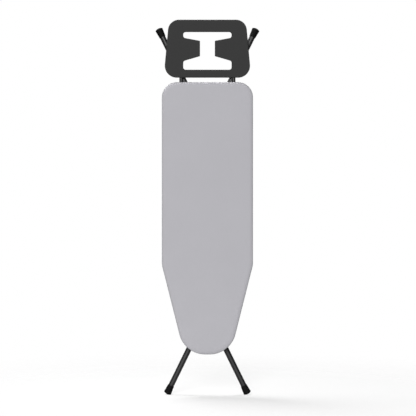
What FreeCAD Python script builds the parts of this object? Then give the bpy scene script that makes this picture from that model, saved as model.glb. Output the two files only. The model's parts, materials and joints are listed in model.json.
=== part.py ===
"""A folding ironing board, folded flat and standing on the feet of its inner leg.

X runs across the board, Y from its ironing face to its underside, and Z up along it. The origin is
on the floor under the middle of the folded board. Depths are measured back from the ironing face.
Each leg is drawn in a frame of its own, whose origin is on the axle that holds its upper end to the
board, and is then tilted by the small angle at which the folded legs cross.
"""
import FreeCAD, Part
import Sketcher
import math
import os

Vector = FreeCAD.Vector

# Driving dimensions, in millimetres and degrees.
DIMENSIONS = {
    # The ironing surface and its edge strip.
    "board_length": 1200,
    "board_width": 402,
    "taper_length": 395,
    "nose_width": 203,
    "nose_height": 183,
    "heel_radius": 67,
    "shoulder_radius": 90,
    "nose_radius": 118,
    "depth_middle": 42.4,
    "cover_thickness": 1.2,
    "pad_thickness": 6,
    "pad_inset": 1.5,
    "mesh_thickness": 0.8,
    "mesh_gap": 0.2,
    "rim_inset": 4,
    "rim_wall": 1.5,
    "rim_depth": 12,
    # Cross ribs, and the two flat bars that carry the leg fittings.
    "rib_width": 22,
    "rib_depth": 7.5,
    "rib_wall": 1.2,
    "bar_middle": 105,
    "bar_width": 28,
    "bar_thickness": 2.5,
    "bar_foot": 289,
    "bar_top": 1252,
    "rivet_radius": 2.4,
    "rivet_head": 4.5,
    "rivet_rise": 1.8,
    "rivet_tail": 3.6,
    "rivet_flange": 1.1,
    # The legs.
    "tube_radius": 12.5,
    "tube_wall": 1.2,
    "inner_half": 38,
    "outer_half": 70,
    "leg_reach": 1193,
    "inner_foot_half": 175.5,
    "outer_foot_half": 213.4,
    "flare": 26,
    "bend_radius": 60,
    "tube_end": 11,
    "plug_cap": 1.4,
    "plug_spigot": 4.5,
    "brace_radius": 8,
    "inner_brace_high": 75,
    "inner_brace_low": 865,
    "outer_brace": 860,
    # Axles, and what turns on them.
    "hinge_depth": 28,
    "pivot_reach": 390,
    "pivot_depth": 41,
    "axle_radius": 5,
    "pivot_radius": 4,
    "running_gap": 0.08,
    "edge_break": 0.6,
    "hinge_axle_half": 121,
    "axle_clip_wall": 2,
    "slide_axle_half": 99.4,
    "pivot_axle_half": 87,
    "sleeve_wall": 1.4,
    "washer_radius": 9,
    "side_gap": 0.3,
    "nut_radius": 7,
    "nut_length": 6.5,
    # Hinge brackets, guide rods and the blocks that slide on them.
    "bracket_width": 24,
    "bracket_wall": 2.5,
    "bracket_back": 39,
    "bracket_half": 22,
    "bracket_rivet": 14,
    "guide_middle": 108,
    "guide_foot": 376,
    "guide_top": 724,
    "guide_overhang": 7,
    "support_wall": 3,
    "support_width": 22,
    "support_base": 20,
    "slider_width": 28,
    "slider_half": 20,
    "slider_front": 18.4,
    "slider_back": 38,
    "slider_bore": 5.3,
    "slider_round": 3,
    # The height rack and its lever.
    "rack_pin_height": 760,
    "rack_pin_depth": 37,
    "rack_pin_radius": 3,
    "rack_pin_head": 5,
    "rack_pin_head_wall": 1.2,
    "rack_pin_length": 17.5,
    "rack_inner": 85.2,
    "rack_thickness": 3,
    "rack_release": 5.5,
    "rack_front": 11,
    "rack_back": 9,
    "rack_top": 37,
    "rack_shoulder": 6,
    "rack_slope": 3,
    "rack_foot_round": 8,
    "rack_top_round": 6,
    "rack_front_round": 3,
    "notch_radius": 5.4,
    "notch_high": 683,
    "notch_pitch": 28,
    "notch_mouth": 2,
    "rack_bracket_foot": 747,
    "rack_bracket_top": 775,
    "rack_bracket_ear": 9,
    "rack_bracket_base": 8,
    "spring_radius": 5,
    "spring_wire": 0.7,
    "spring_turns": 5,
    "spring_pitch": 1.55,
    "spring_gap": 1,
    "lever_radius": 3.5,
    "lever_high": 28,
    "lever_out": 176,
    "lever_up": 138,
    "lever_bend": 18,
    "grip_radius": 8,
    "grip_length": 92,
    "grip_over": 3,
    # The clip that holds the folded legs.
    "clip_width": 30,
    "clip_wall": 3,
    "clip_stem": 5,
    "clip_gap": 0.4,
    # The iron rest.
    "rest_gap": 20.5,
    "rest_height": 256,
    "rest_width_low": 386.4,
    "rest_width_high": 339.6,
    "rest_radius_low": 53,
    "rest_radius_high": 48,
    "rest_front": 23.5,
    "rest_sheet": 1.6,
    "rest_skirt": 5.2,
    "rest_roll": 4.2,
    "slot_roll": 2.4,
    "slot_half": 106.6,
    "slot_web": 32.7,
    "slot_low": 35.1,
    "slot_low_end": 73.4,
    "slot_low_web": 94.8,
    "slot_high_web": 162.7,
    "slot_high_end": 176.2,
    "slot_high": 201.3,
    "slot_radius": 11,
    "slot_web_radius": 3.5,
    "arm_half": 116,
    "arm_depth": 37,
    "arm_radius": 8,
    "arm_wall": 1.2,
    "arm_foot": 1261,
    "arm_top": 1630,
    "arm_bend": 36,
    "rest_post_low": 33,
    "rest_post_high": 178,
    "rest_post_width": 13,
    "rest_post_length": 20,
    "clamp_width": 22,
    "clamp_flange": 41,
    "clamp_flange_wall": 3,
    "clamp_length": 18,
    "clamp_back": 47.5,
    # Foot caps.
    "cap_sleeve": 33,
    "cap_top_radius": 14,
    "cap_end_radius": 17.2,
    "cap_end": 9.5,
    "cap_dome": 28,
    "cap_round": 1.6,
    "cap_gap": 0.1,
}

# Heights of the cross ribs' middles.
BAR_RIBS = {
    "nose_rib": 300,
    "lower_slide_rib": 386,
    "upper_slide_rib": 716,
    "middle_rib": 932,
    "lower_hinge_rib": 1110,
    "upper_hinge_rib": 1241,
}
HEEL_RIBS = {"inner_heel_rib": 1284, "outer_heel_rib": 1350}
SIDES = {"left": -1, "right": 1}
NOTCHES = 5

# Depths at which the board's layers begin and end.
MESH_FRONT = "(cover_thickness + pad_thickness)"
MESH_BACK = f"({MESH_FRONT} + mesh_thickness)"
RIB_BACK = f"({MESH_BACK} + rib_depth)"
BAR_BACK = f"({RIB_BACK} + bar_thickness)"

TAPER = "atan((board_width - nose_width) / 2 / taper_length)"
BOARD_TOP = "(nose_height + board_length)"
REST_FOOT = f"({BOARD_TOP} + rest_gap)"

# The angle between each folded leg and the board, and the heights of the two axles on the board.
FOLD = "asin((pivot_depth - hinge_depth) / pivot_reach)"
HINGE_HEIGHT = f"(cap_dome + cos({FOLD}) * (leg_reach - (cap_dome - cap_end) * cos(flare * 1 deg)))"
SLIDE_HEIGHT = f"({HINGE_HEIGHT} - 2 * pivot_reach * cos({FOLD}))"

doc = FreeCAD.newDocument("ironing_board")
sheet = doc.addObject("Spreadsheet::Sheet", "Dims")
nodes = []


# ---------------------------------------------------------------- values and places

def fill_sheet():
    """Writes every driving dimension to a cell and names the cell."""
    for row, (alias, value) in enumerate(DIMENSIONS.items(), 1):
        sheet.set(f"A{row}", str(value))
        sheet.setAlias(f"A{row}", alias)
    doc.recompute()


def dim(text):
    """An expression in which each dimension's name points at its cell."""
    found, word = "", ""
    for letter in str(text) + " ":
        if letter.isalnum() or letter == "_":
            word += letter
            continue
        found += f"Dims.{word}" if word in DIMENSIONS else word
        found += letter
        word = ""
    return found.strip()


def number(text):
    """What an expression comes to."""
    found = sheet.evalExpression(dim(text))
    return float(getattr(found, "Value", found))


def bind(thing, prop, text):
    """Ties a property to an expression."""
    thing.setExpression(prop, dim(text))


def place(thing, x=0, y=0, z=0, tilt=None):
    """Puts an object in the frame, turned about X by an angle."""
    if tilt is not None:
        thing.Placement = FreeCAD.Placement(Vector(), FreeCAD.Rotation(Vector(1, 0, 0), 1))
        bind(thing, "Placement.Rotation.Angle", tilt)
    for axis, text in (("x", x), ("y", y), ("z", z)):
        bind(thing, f"Placement.Base.{axis}", text)
    return thing


def at_depth(text):
    """The Y of a depth behind the ironing face."""
    return f"({text}) - depth_middle"


def on_inner_leg(thing):
    """Puts something drawn about the hinge axle on the folded inner leg."""
    return place(thing, y=at_depth("hinge_depth"), z=HINGE_HEIGHT, tilt=FOLD)


def on_outer_leg(thing):
    """Puts something drawn about the sliding axle on the folded outer leg."""
    return place(thing, y=at_depth("hinge_depth"), z=SLIDE_HEIGHT, tilt=f"-({FOLD})")


def on_slide(thing):
    return place(thing, y=at_depth("hinge_depth"), z=SLIDE_HEIGHT)


def on_lever(thing):
    """Puts something drawn about the rack's pin on the released lever."""
    return place(thing, y=at_depth("rack_pin_depth"), z="rack_pin_height", tilt="rack_release * 1 deg")


def keep(thing, label):
    """Marks an object as a sub-part, which is written under its label."""
    thing.Label = label
    nodes.append(thing)
    return thing


# ---------------------------------------------------------------- sketches

def new_body(label):
    return keep(doc.addObject("PartDesign::Body", "Body_" + label), label)


def new_sketch(body, plane, offset=0):
    """A sketch on one of the body's own planes, moved along that plane's normal."""
    found = body.newObject("Sketcher::SketchObject", "Sketch")
    role = plane + "_Plane"
    support = [feature for feature in body.Origin.OriginFeatures if feature.Role == role][0]
    found.AttachmentSupport = (support, [""])
    found.MapMode = "FlatFace"
    bind(found, "AttachmentOffset.Base.z", offset)
    return found


def constrain(sketch, name, text, kind, *where):
    """A named constraint whose value is an expression."""
    index = sketch.addConstraint(Sketcher.Constraint(kind, *where, number(text)))
    sketch.renameConstraint(index, name)
    bind(sketch, "Constraints." + name, text)


def pin_point(sketch, name, u, v, geometry, end):
    """Holds a point of the geometry at (u, v)."""
    constrain(sketch, name + "u", u, "DistanceX", -1, 1, geometry, end)
    constrain(sketch, name + "v", v, "DistanceY", -1, 1, geometry, end)


def add_circle(sketch, name, u, v, radius):
    shape = Part.Circle(Vector(number(u), number(v), 0), Vector(0, 0, 1), number(radius))
    circle = sketch.addGeometry(shape, False)
    constrain(sketch, name + "r", radius, "Radius", circle)
    pin_point(sketch, name, u, v, circle, 3)


def round_corner(before, corner, after, radius):
    """The arc that rounds a corner between two other points."""
    back, ahead = (before - corner).normalize(), (after - corner).normalize()
    half = back.getAngle(ahead) / 2
    run = radius / math.tan(half)
    centre = corner + (back + ahead).normalize() * (radius / math.sin(half))
    middle = centre + (corner - centre).normalize() * radius
    return Part.Arc(corner + back * run, middle, corner + ahead * run), run


def join_round(sketch, name, corner, arc, lines, point):
    """Adds a rounding arc, tangent to both its lines, about a corner held in place."""
    u, v, radius = corner
    before, after = lines
    added = sketch.addGeometry(arc, False)
    held = sketch.addGeometry(Part.Point(point), True)
    near, far = 1, 2
    if (sketch.getPoint(added, 1) - sketch.getPoint(before, 2)).Length > 1e-6:
        near, far = 2, 1
    sketch.addConstraint(Sketcher.Constraint("Tangent", before, 2, added, near))
    sketch.addConstraint(Sketcher.Constraint("Tangent", added, far, after, 1))
    constrain(sketch, name + "r", radius, "Radius", added)
    pin_point(sketch, name, u, v, held, 1)
    sketch.addConstraint(Sketcher.Constraint("PointOnObject", held, 1, before))
    sketch.addConstraint(Sketcher.Constraint("PointOnObject", held, 1, after))


def add_outline(sketch, name, corners, closed=True):
    """Straight runs through corners (u, v, radius). A radius of None leaves a corner sharp."""
    points = [Vector(number(u), number(v), 0) for u, v, _ in corners]
    count = len(corners)
    arcs, cuts = {}, [0.0] * count
    for i, (_, _, radius) in enumerate(corners):
        if radius is not None:
            arcs[i], cuts[i] = round_corner(
                points[i - 1], points[i], points[(i + 1) % count], number(radius))
    lines = []
    for i in range(count if closed else count - 1):
        start, end = points[i], points[(i + 1) % count]
        along = (end - start).normalize()
        run = Part.LineSegment(start + along * cuts[i], end - along * cuts[(i + 1) % count])
        lines.append(sketch.addGeometry(run, False))
    for i, (u, v, radius) in enumerate(corners):
        corner_name = f"{name}{i}"
        if radius is not None:
            pair = (lines[i - 1], lines[i])
            join_round(sketch, corner_name, corners[i], arcs[i], pair, points[i])
        elif not closed and i == count - 1:
            pin_point(sketch, corner_name, u, v, lines[-1], 2)
        else:
            if closed or i > 0:
                sketch.addConstraint(Sketcher.Constraint("Coincident", lines[i - 1], 2, lines[i], 1))
            pin_point(sketch, corner_name, u, v, lines[i], 1)


def outline(body, plane, *loops, offset=0):
    """A sketch of closed outlines."""
    sketch = new_sketch(body, plane, offset)
    for i, corners in enumerate(loops):
        add_outline(sketch, "abcd"[i], corners)
    return sketch


def circles(body, plane, rings, offset=0):
    """A sketch of circles (u, v, radius)."""
    sketch = new_sketch(body, plane, offset)
    for i, (u, v, radius) in enumerate(rings):
        add_circle(sketch, "circle" + "abcdefghijklmnop"[i], u, v, radius)
    return sketch


def rectangle(left, right, low, high, radius=None):
    return [(left, low, radius), (right, low, radius), (right, high, radius), (left, high, radius)]


def mirrored(corners):
    """Corners on the right, from the lowest up, and their mirror images on the left."""
    return corners + [(f"-({u})", v, radius) for u, v, radius in reversed(corners)]


# ---------------------------------------------------------------- features

def pad(body, sketch, length, back=False, both=False):
    """Extrudes a sketch along its normal, against it, or half each way."""
    feature = body.newObject("PartDesign::Pad", "Pad")
    feature.Profile = sketch
    bind(feature, "Length", length)
    feature.Reversed = back
    feature.Midplane = both
    doc.recompute()
    return feature


def pocket(body, sketch, length=None, back=False):
    """Cuts a sketch to a depth, or right through both ways. It has to cut something."""
    before = body.Shape.Volume
    feature = body.newObject("PartDesign::Pocket", "Pocket")
    feature.Profile = sketch
    if length is None:
        feature.Type = "ThroughAll"
        feature.Midplane = True
    else:
        bind(feature, "Length", length)
        feature.Reversed = back
    doc.recompute()
    if body.Shape.Volume > before - 0.1:
        raise RuntimeError(f"{body.Label}: a pocket cuts nothing")
    return feature


def soften(body, kind, size, wanted):
    """Fillets or chamfers the body's edges for which wanted(edge) holds."""
    base = body.Tip
    names = [f"Edge{i}" for i, edge in enumerate(base.Shape.Edges, 1) if wanted(edge)]
    feature = body.newObject("PartDesign::" + kind, kind)
    feature.Base = (base, names)
    bind(feature, "Radius" if kind == "Fillet" else "Size", size)
    doc.recompute()
    return feature


def is_round(edge):
    return not edge.Degenerated and isinstance(edge.Curve, Part.Circle)


def flat_at(axis, value):
    """A test for edges that lie in the plane where the axis has this value."""
    def test(edge):
        box = edge.BoundBox
        low, high = getattr(box, axis + "Min"), getattr(box, axis + "Max")
        return abs(low - value) < 0.01 and abs(high - value) < 0.01
    return test


def sweep_tube(body, path, plane, start, radius, wall=None):
    """Sweeps a round or hollow section along a path of corners in the body's XZ plane."""
    spine = new_sketch(body, "XZ")
    add_outline(spine, "p", path, closed=False)
    u, v, offset = start
    rings = [(u, v, radius)]
    if wall is not None:
        rings.append((u, v, f"{radius} - {wall}"))
    section = circles(body, plane, rings, offset)
    doc.recompute()
    pipe = body.newObject("PartDesign::AdditivePipe", "Pipe")
    pipe.Profile = section
    pipe.Spine = (spine, [f"Edge{i}" for i in range(1, len(spine.Shape.Edges) + 1)])
    doc.recompute()
    return pipe


def make_rod(label, radius, length, plane="YZ"):
    """A round rod centred on the origin, with its end edges broken."""
    body = new_body(label)
    pad(body, circles(body, plane, [(0, 0, radius)]), length, both=True)
    soften(body, "Chamfer", "edge_break", is_round)
    return body


# ---------------------------------------------------------------- solids without a body

def cylinder(radius, length, x=0, y=0, z=0, along="X"):
    """A cylinder whose base is at (x, y, z)."""
    turns = {"X": (Vector(0, 1, 0), 90), "Y": (Vector(1, 0, 0), -90), "Z": (Vector(0, 0, 1), 0)}
    found = doc.addObject("Part::Cylinder", "Cylinder")
    found.Placement = FreeCAD.Placement(Vector(), FreeCAD.Rotation(*turns[along]))
    bind(found, "Radius", radius)
    bind(found, "Height", length)
    return place(found, x, y, z)


def cone(radius, end_radius, length, x, y, z):
    """A cone along Y whose base is at (x, y, z)."""
    found = doc.addObject("Part::Cone", "Cone")
    found.Placement = FreeCAD.Placement(Vector(), FreeCAD.Rotation(Vector(1, 0, 0), -90))
    bind(found, "Radius1", radius)
    bind(found, "Radius2", end_radius)
    bind(found, "Height", length)
    return place(found, x, y, z)


def block(length, width, height, x, y, z):
    """A box whose lowest corner is at (x, y, z)."""
    found = doc.addObject("Part::Box", "Box")
    for prop, text in (("Length", length), ("Width", width), ("Height", height)):
        bind(found, prop, text)
    return place(found, x, y, z)


def cut(base, tool):
    found = doc.addObject("Part::Cut", "Cut")
    found.Base, found.Tool = base, tool
    return found


def fuse(*shapes):
    found = doc.addObject("Part::MultiFuse", "Fusion")
    found.Shapes = list(shapes)
    return found


def group(label, shapes):
    """Separate solids that share a node."""
    found = doc.addObject("Part::Compound", "Group")
    found.Links = list(shapes)
    return keep(found, label)


def ring(radius, hole, x, length):
    """A sleeve or washer along X, from x on."""
    return cut(cylinder(radius, length, x), cylinder(hole, length, x))


# ---------------------------------------------------------------- the ironing surface

def board_corners(inset=0):
    """The board's outline in X and Z, drawn in by an inset all round."""
    side = f"board_width / 2 - ({inset})"
    shoulder = f"nose_height + taper_length + ({inset}) * tan(0.5 * {TAPER})"
    nose = f"nose_width / 2 - ({inset}) * tan(45 deg - 0.5 * {TAPER})"
    return mirrored([
        (nose, f"nose_height + ({inset})", f"nose_radius - ({inset})"),
        (side, shoulder, f"shoulder_radius - ({inset})"),
        (side, f"{BOARD_TOP} - ({inset})", f"heel_radius - ({inset})"),
    ])


def make_layer(label, front, thickness, inset):
    """A flat layer of the ironing surface, from a depth backwards."""
    body = new_body(label)
    pad(body, outline(body, "XZ", board_corners(inset)), thickness, back=True)
    place(body, y=at_depth(front))


def make_rim():
    """The steel strip that edges the mesh."""
    body = new_body("rim_band")
    outer, inner = board_corners("rim_inset"), board_corners("rim_inset + rim_wall")
    pad(body, outline(body, "XZ", outer, inner), "rim_depth", back=True)
    place(body, y=at_depth(MESH_FRONT))


def rib_half(height):
    """Half a rib's length. It stops at the rim, also where the board narrows."""
    low = f"({height} - rib_width / 2)"
    high = f"({height} + rib_width / 2)"
    heel = f"({BOARD_TOP} - heel_radius)"
    rim = "(rim_inset + rim_wall + 0.5)"
    if number(low) < number("nose_height + taper_length"):
        return f"board_width / 2 - (nose_height + taper_length - {low}) * tan({TAPER}) - {rim}"
    if number(high) > number(heel):
        chord = f"sqrt((heel_radius - {rim}) ^ 2 - ({high} - {heel}) ^ 2)"
        return f"board_width / 2 - heel_radius + {chord}"
    return f"board_width / 2 - {rim}"


def make_rib(label, height, holes):
    """A shallow channel across the board with its web at the back, drilled at each X in holes."""
    body = new_body(label)
    edge, floor = "rib_width / 2", "(rib_depth - rib_wall)"
    section = outline(body, "YZ", [
        (0, f"-{edge}", None),
        ("rib_depth", f"-{edge}", "rib_wall"),
        ("rib_depth", edge, "rib_wall"),
        (0, edge, None),
        (0, f"{edge} - rib_wall", None),
        (floor, f"{edge} - rib_wall", None),
        (floor, f"rib_wall - {edge}", None),
        (0, f"rib_wall - {edge}", None),
    ])
    pad(body, section, f"2 * ({rib_half(height)})", both=True)
    pocket(body, circles(body, "XZ", [(x, 0, "rivet_radius") for x in holes]))
    place(body, y=at_depth(MESH_BACK), z=height)


def bracket_holes(side):
    """Where the leg fittings are riveted to one of the bars: (x, z) and the fitting's wall."""
    sign = SIDES[side]
    bar, guide = f"{sign} * bar_middle", f"{sign} * guide_middle"
    reach = "(support_wall / 2 + support_base / 2)"
    found = [
        (bar, f"{HINGE_HEIGHT} - bracket_rivet", "bracket_wall"),
        (bar, f"{HINGE_HEIGHT} + bracket_rivet", "bracket_wall"),
        (guide, f"guide_foot - {reach}", "support_wall"),
        (guide, f"guide_top + {reach}", "support_wall"),
    ]
    if side == "right":
        found.append((guide, "rack_pin_height", "bracket_wall"))
    return found


def make_bar(side):
    """A flat bar along the board, behind the ribs, drilled for its rivets."""
    body = new_body(side + "_bar")
    middle = f"{SIDES[side]} * bar_middle"
    left, right = f"{middle} - bar_width / 2", f"{middle} + bar_width / 2"
    corners = rectangle(left, right, "bar_foot", "bar_top", "bar_width / 3")
    pad(body, outline(body, "XZ", corners), "bar_thickness", back=True)
    holes = [(middle, height, "rivet_radius") for height in BAR_RIBS.values()]
    holes += [(x, z, "rivet_radius") for x, z, _ in bracket_holes(side)]
    pocket(body, circles(body, "XZ", holes))
    place(body, y=at_depth(RIB_BACK))


def rivet(x, z, front, back):
    """A rivet through a stack from one depth to another, with its head at the back."""
    y_front, y_back = at_depth(front), at_depth(back)
    tail = cylinder("rivet_tail", "rivet_flange", x, f"{y_front} - rivet_flange", z, "Y")
    shank = cylinder("rivet_radius", f"({back}) - ({front})", x, y_front, z, "Y")
    head = cone("rivet_head", "rivet_radius", "rivet_rise", x, y_back, z)
    return fuse(tail, shank, head)


def make_rivets():
    """The rivets that join ribs and bars, and those that hold the leg fittings to the bars."""
    rib_web = f"({RIB_BACK} - rib_wall)"
    through_ribs, through_brackets = [], []
    for side, sign in SIDES.items():
        for height in BAR_RIBS.values():
            through_ribs.append(rivet(f"{sign} * bar_middle", height, rib_web, BAR_BACK))
        for x, z, wall in bracket_holes(side):
            through_brackets.append(rivet(x, z, RIB_BACK, f"{BAR_BACK} + {wall}"))
    group("rib_rivets", through_ribs)
    group("bracket_rivets", through_brackets)


# ---------------------------------------------------------------- hinge and slide on the board

def make_hinge_bracket(side):
    """A channel that holds one end of the hinge axle."""
    body = new_body(side + "_hinge_bracket")
    edge, wall = "bracket_width / 2", "bracket_wall"
    back = f"bracket_back - {BAR_BACK}"
    section = outline(body, "XY", [
        (f"-{edge}", 0, wall),
        (edge, 0, wall),
        (edge, back, None),
        (f"{edge} - {wall}", back, None),
        (f"{edge} - {wall}", wall, None),
        (f"{wall} - {edge}", wall, None),
        (f"{wall} - {edge}", back, None),
        (f"-{edge}", back, None),
    ])
    pad(body, section, "2 * bracket_half", both=True)
    bore = circles(body, "YZ", [(f"hinge_depth - {BAR_BACK}", 0, "axle_radius")])
    pocket(body, bore)
    rivets = [(0, f"{sign} * bracket_rivet", "rivet_radius") for sign in (-1, 1)]
    pocket(body, circles(body, "XZ", rivets), f"2 * {wall}")
    place(body, x=f"{SIDES[side]} * bar_middle", y=at_depth(BAR_BACK), z=HINGE_HEIGHT)


def make_hinge_axle():
    """The axle that the inner leg turns on, and the push-on clips at its ends."""
    axle = make_rod("hinge_axle", "axle_radius", "2 * hinge_axle_half")
    place(axle, y=at_depth("hinge_depth"), z=HINGE_HEIGHT)
    near = "(bar_middle + bracket_width / 2 + side_gap)"
    clips = [
        ring("washer_radius", "axle_radius", near, "axle_clip_wall"),
        ring("washer_radius", "axle_radius", f"-{near} - axle_clip_wall", "axle_clip_wall"),
    ]
    place(group("hinge_axle_clips", clips), y=at_depth("hinge_depth"), z=HINGE_HEIGHT)


def make_guide_rod(side):
    length = "(guide_top - guide_foot + 2 * guide_overhang)"
    rod = make_rod(side + "_guide_rod", "axle_radius", length, plane="XY")
    middle = f"{SIDES[side]} * guide_middle"
    place(rod, x=middle, y=at_depth("hinge_depth"), z="(guide_foot + guide_top) / 2")


def guide_support(x, height, way):
    """An angle riveted to a bar, whose upright holds the end of a guide rod."""
    left = f"{x} - support_width / 2"
    y = at_depth(BAR_BACK)
    upright_foot = f"{height} - support_wall / 2"
    base_foot = f"{height} + support_wall / 2" if way > 0 else f"{upright_foot} - support_base"
    deep = f"slider_back - {BAR_BACK}"
    upright = block("support_width", deep, "support_wall", left, y, upright_foot)
    base = block("support_width", "support_wall", "support_base", left, y, base_foot)
    bore_y = at_depth("hinge_depth")
    bore = cylinder("axle_radius", "support_wall", x, bore_y, upright_foot, "Z")
    reach = f"({height} + {way} * (support_wall / 2 + support_base / 2))"
    hole = cylinder("rivet_radius", "support_wall", x, y, reach, "Y")
    return cut(fuse(upright, base), fuse(bore, hole))


def make_guide_supports(side):
    x = f"{SIDES[side]} * guide_middle"
    supports = [guide_support(x, "guide_foot", -1), guide_support(x, "guide_top", 1)]
    group(side + "_guide_supports", supports)


def make_slider(side):
    """A block that runs on a guide rod and holds one end of the sliding axle."""
    body = new_body(side + "_slider")
    sign = SIDES[side]
    left, right = "-slider_width / 2", "slider_width / 2"
    front, back = "slider_front - hinge_depth", "slider_back - hinge_depth"
    corners = rectangle(left, right, front, back, "slider_round")
    pad(body, outline(body, "XY", corners), "2 * slider_half", both=True)
    guide = f"{sign} * (guide_middle - bar_middle)"
    pocket(body, circles(body, "XY", [(guide, 0, "slider_bore")]))
    depth = "(slide_axle_half - bar_middle + slider_width / 2 + cap_gap)"
    mouth = circles(body, "YZ", [(0, 0, "axle_radius")], offset=f"-{sign} * slider_width / 2")
    pocket(body, mouth, depth, back=sign > 0)
    place(body, x=f"{sign} * bar_middle", y=at_depth("hinge_depth"), z=SLIDE_HEIGHT)


def make_slide_axle():
    """The axle that the outer leg turns on, and the sleeves that space it."""
    on_slide(make_rod("slide_axle", "axle_radius", "2 * slide_axle_half"))
    radius = "axle_radius + sleeve_wall"
    between = "(outer_half - tube_radius - side_gap)"
    beside = "(outer_half + tube_radius + side_gap)"
    block_face = "(bar_middle - slider_width / 2)"
    sleeves = [
        ring(radius, "axle_radius", f"-{between}", f"2 * {between}"),
        ring(radius, "axle_radius", f"-{block_face}", f"{block_face} - {beside}"),
    ]
    on_slide(group("slide_axle_sleeves", sleeves))


# ---------------------------------------------------------------- the legs

def make_leg_tube(label, half, foot_half, sign, way, mount):
    """A leg tube: straight past both its axles, then splayed out to its foot. way is up or down."""
    body = new_body(label)
    x, foot = f"{sign} * {half}", f"{sign} * {foot_half}"
    corner = f"{way} * (leg_reach - ({foot_half} - {half}) / tan(flare * 1 deg))"
    end = f"-{way} * tube_end"
    path = [(x, end, None), (x, corner, "bend_radius"), (foot, f"{way} * leg_reach", None)]
    sweep_tube(body, path, "XY", (x, 0, end), "tube_radius", "tube_wall")
    bores = [
        (0, 0, "axle_radius + running_gap"),
        (0, f"{way} * pivot_reach", "pivot_radius + running_gap"),
    ]
    pocket(body, circles(body, "YZ", bores))
    mount(body)


def add_cap_profile(sketch):
    """Half a foot cap's section: a socket for the tube, a flared side and a domed end."""
    bore = "(tube_radius + cap_gap)"
    centre = "(cap_dome - cap_end)"
    rim = f"({centre} - sqrt(cap_dome ^ 2 - cap_end_radius ^ 2))"
    corners = [
        (0, 0), (bore, 0), (bore, "cap_sleeve"), ("cap_top_radius", "cap_sleeve"),
        ("cap_end_radius", rim),
    ]
    points = [Vector(number(u), number(v), 0) for u, v in corners]
    apex = Vector(0, number("-cap_end"), 0)
    lines = [
        sketch.addGeometry(Part.LineSegment(*pair), False)
        for pair in zip([apex] + points, points)
    ]
    middle = Vector(0, number(centre), 0)
    start = -math.pi / 2
    sweep = math.asin(number("cap_end_radius / cap_dome"))
    circle = Part.Circle(middle, Vector(0, 0, 1), number("cap_dome"))
    dome = sketch.addGeometry(Part.ArcOfCircle(circle, start, start + sweep), False)
    for before, after in zip(lines, lines[1:]):
        sketch.addConstraint(Sketcher.Constraint("Coincident", before, 2, after, 1))
    for name, (u, v), line in zip("abcde", corners, lines):
        pin_point(sketch, name, u, v, line, 2)
    sketch.addConstraint(Sketcher.Constraint("Coincident", dome, 1, lines[0], 1))
    sketch.addConstraint(Sketcher.Constraint("Coincident", dome, 2, lines[-1], 2))
    sketch.addConstraint(Sketcher.Constraint("PointOnObject", dome, 3, -2))
    sketch.addConstraint(Sketcher.Constraint("PointOnObject", dome, 1, -2))
    constrain(sketch, "dome", "cap_dome", "Radius", dome)


def make_cap(label, foot_half, sign, way, mount):
    """A foot cap on the splayed end of a leg tube."""
    body = new_body(label)
    sketch = new_sketch(body, "XZ")
    sketch.AttachmentOffset = FreeCAD.Placement(Vector(), FreeCAD.Rotation(Vector(0, 0, 1), 1))
    bind(sketch, "AttachmentOffset.Base.x", f"{sign} * {foot_half}")
    bind(sketch, "AttachmentOffset.Base.y", f"{way} * leg_reach")
    turn = "flare" if way < 0 else "180 - flare"
    bind(sketch, "AttachmentOffset.Rotation.Angle", f"{sign} * ({turn}) * 1 deg")
    add_cap_profile(sketch)
    feature = body.newObject("PartDesign::Revolution", "Revolution")
    feature.Profile = sketch
    feature.ReferenceAxis = (sketch, ["V_Axis"])
    bind(feature, "Angle", "360 * 1 deg")
    doc.recompute()
    rim = number("cap_end_radius")

    def at_rim(edge):
        return is_round(edge) and abs(edge.Curve.Radius - rim) < 0.01

    soften(body, "Fillet", "cap_round", at_rim)
    mount(body)


def make_end_plugs(label, half, way, mount):
    """Plugs in the ends of the tubes, beyond the axle."""
    plugs = []
    for sign in SIDES.values():
        x = f"{sign} * {half}"
        cap_foot = "tube_end" if way < 0 else "-tube_end - plug_cap"
        spigot_foot = "tube_end - plug_spigot" if way < 0 else "-tube_end"
        cap = cylinder("tube_radius", "plug_cap", x, 0, cap_foot, "Z")
        inside = "tube_radius - tube_wall - cap_gap"
        spigot = cylinder(inside, "plug_spigot", x, 0, spigot_foot, "Z")
        plugs.append(fuse(cap, spigot))
    mount(group(label, plugs))


def make_brace(label, half, height, mount):
    """A cross tube between a leg's two tubes, its ends shaped to fit them."""
    reach = f"({half} - tube_radius / 2)"
    tube = cut(
        cylinder("brace_radius", f"2 * {reach}", f"-{reach}", 0, height),
        cylinder("brace_radius - tube_wall", f"2 * {reach}", f"-{reach}", 0, height),
    )
    foot = f"{height} - 2 * brace_radius"
    legs = [
        cylinder("tube_radius", "4 * brace_radius", f"{sign} * {half}", 0, foot, "Z")
        for sign in SIDES.values()
    ]
    mount(keep(cut(tube, fuse(*legs)), label))


def make_hinge_sleeves():
    """Sleeves on the hinge axle, between the inner leg's tubes and beside them."""
    radius, bore = "axle_radius + sleeve_wall", "axle_radius + running_gap"
    between = "(inner_half - tube_radius - side_gap)"
    beside = "(inner_half + tube_radius + side_gap)"
    ear = "(bar_middle - bracket_width / 2 - side_gap)"
    sleeves = [
        ring(radius, bore, f"-{between}", f"2 * {between}"),
        ring(radius, bore, beside, f"{ear} - {beside}"),
        ring(radius, bore, f"-{ear}", f"{ear} - {beside}"),
    ]
    on_inner_leg(group("hinge_axle_sleeves", sleeves))


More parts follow.
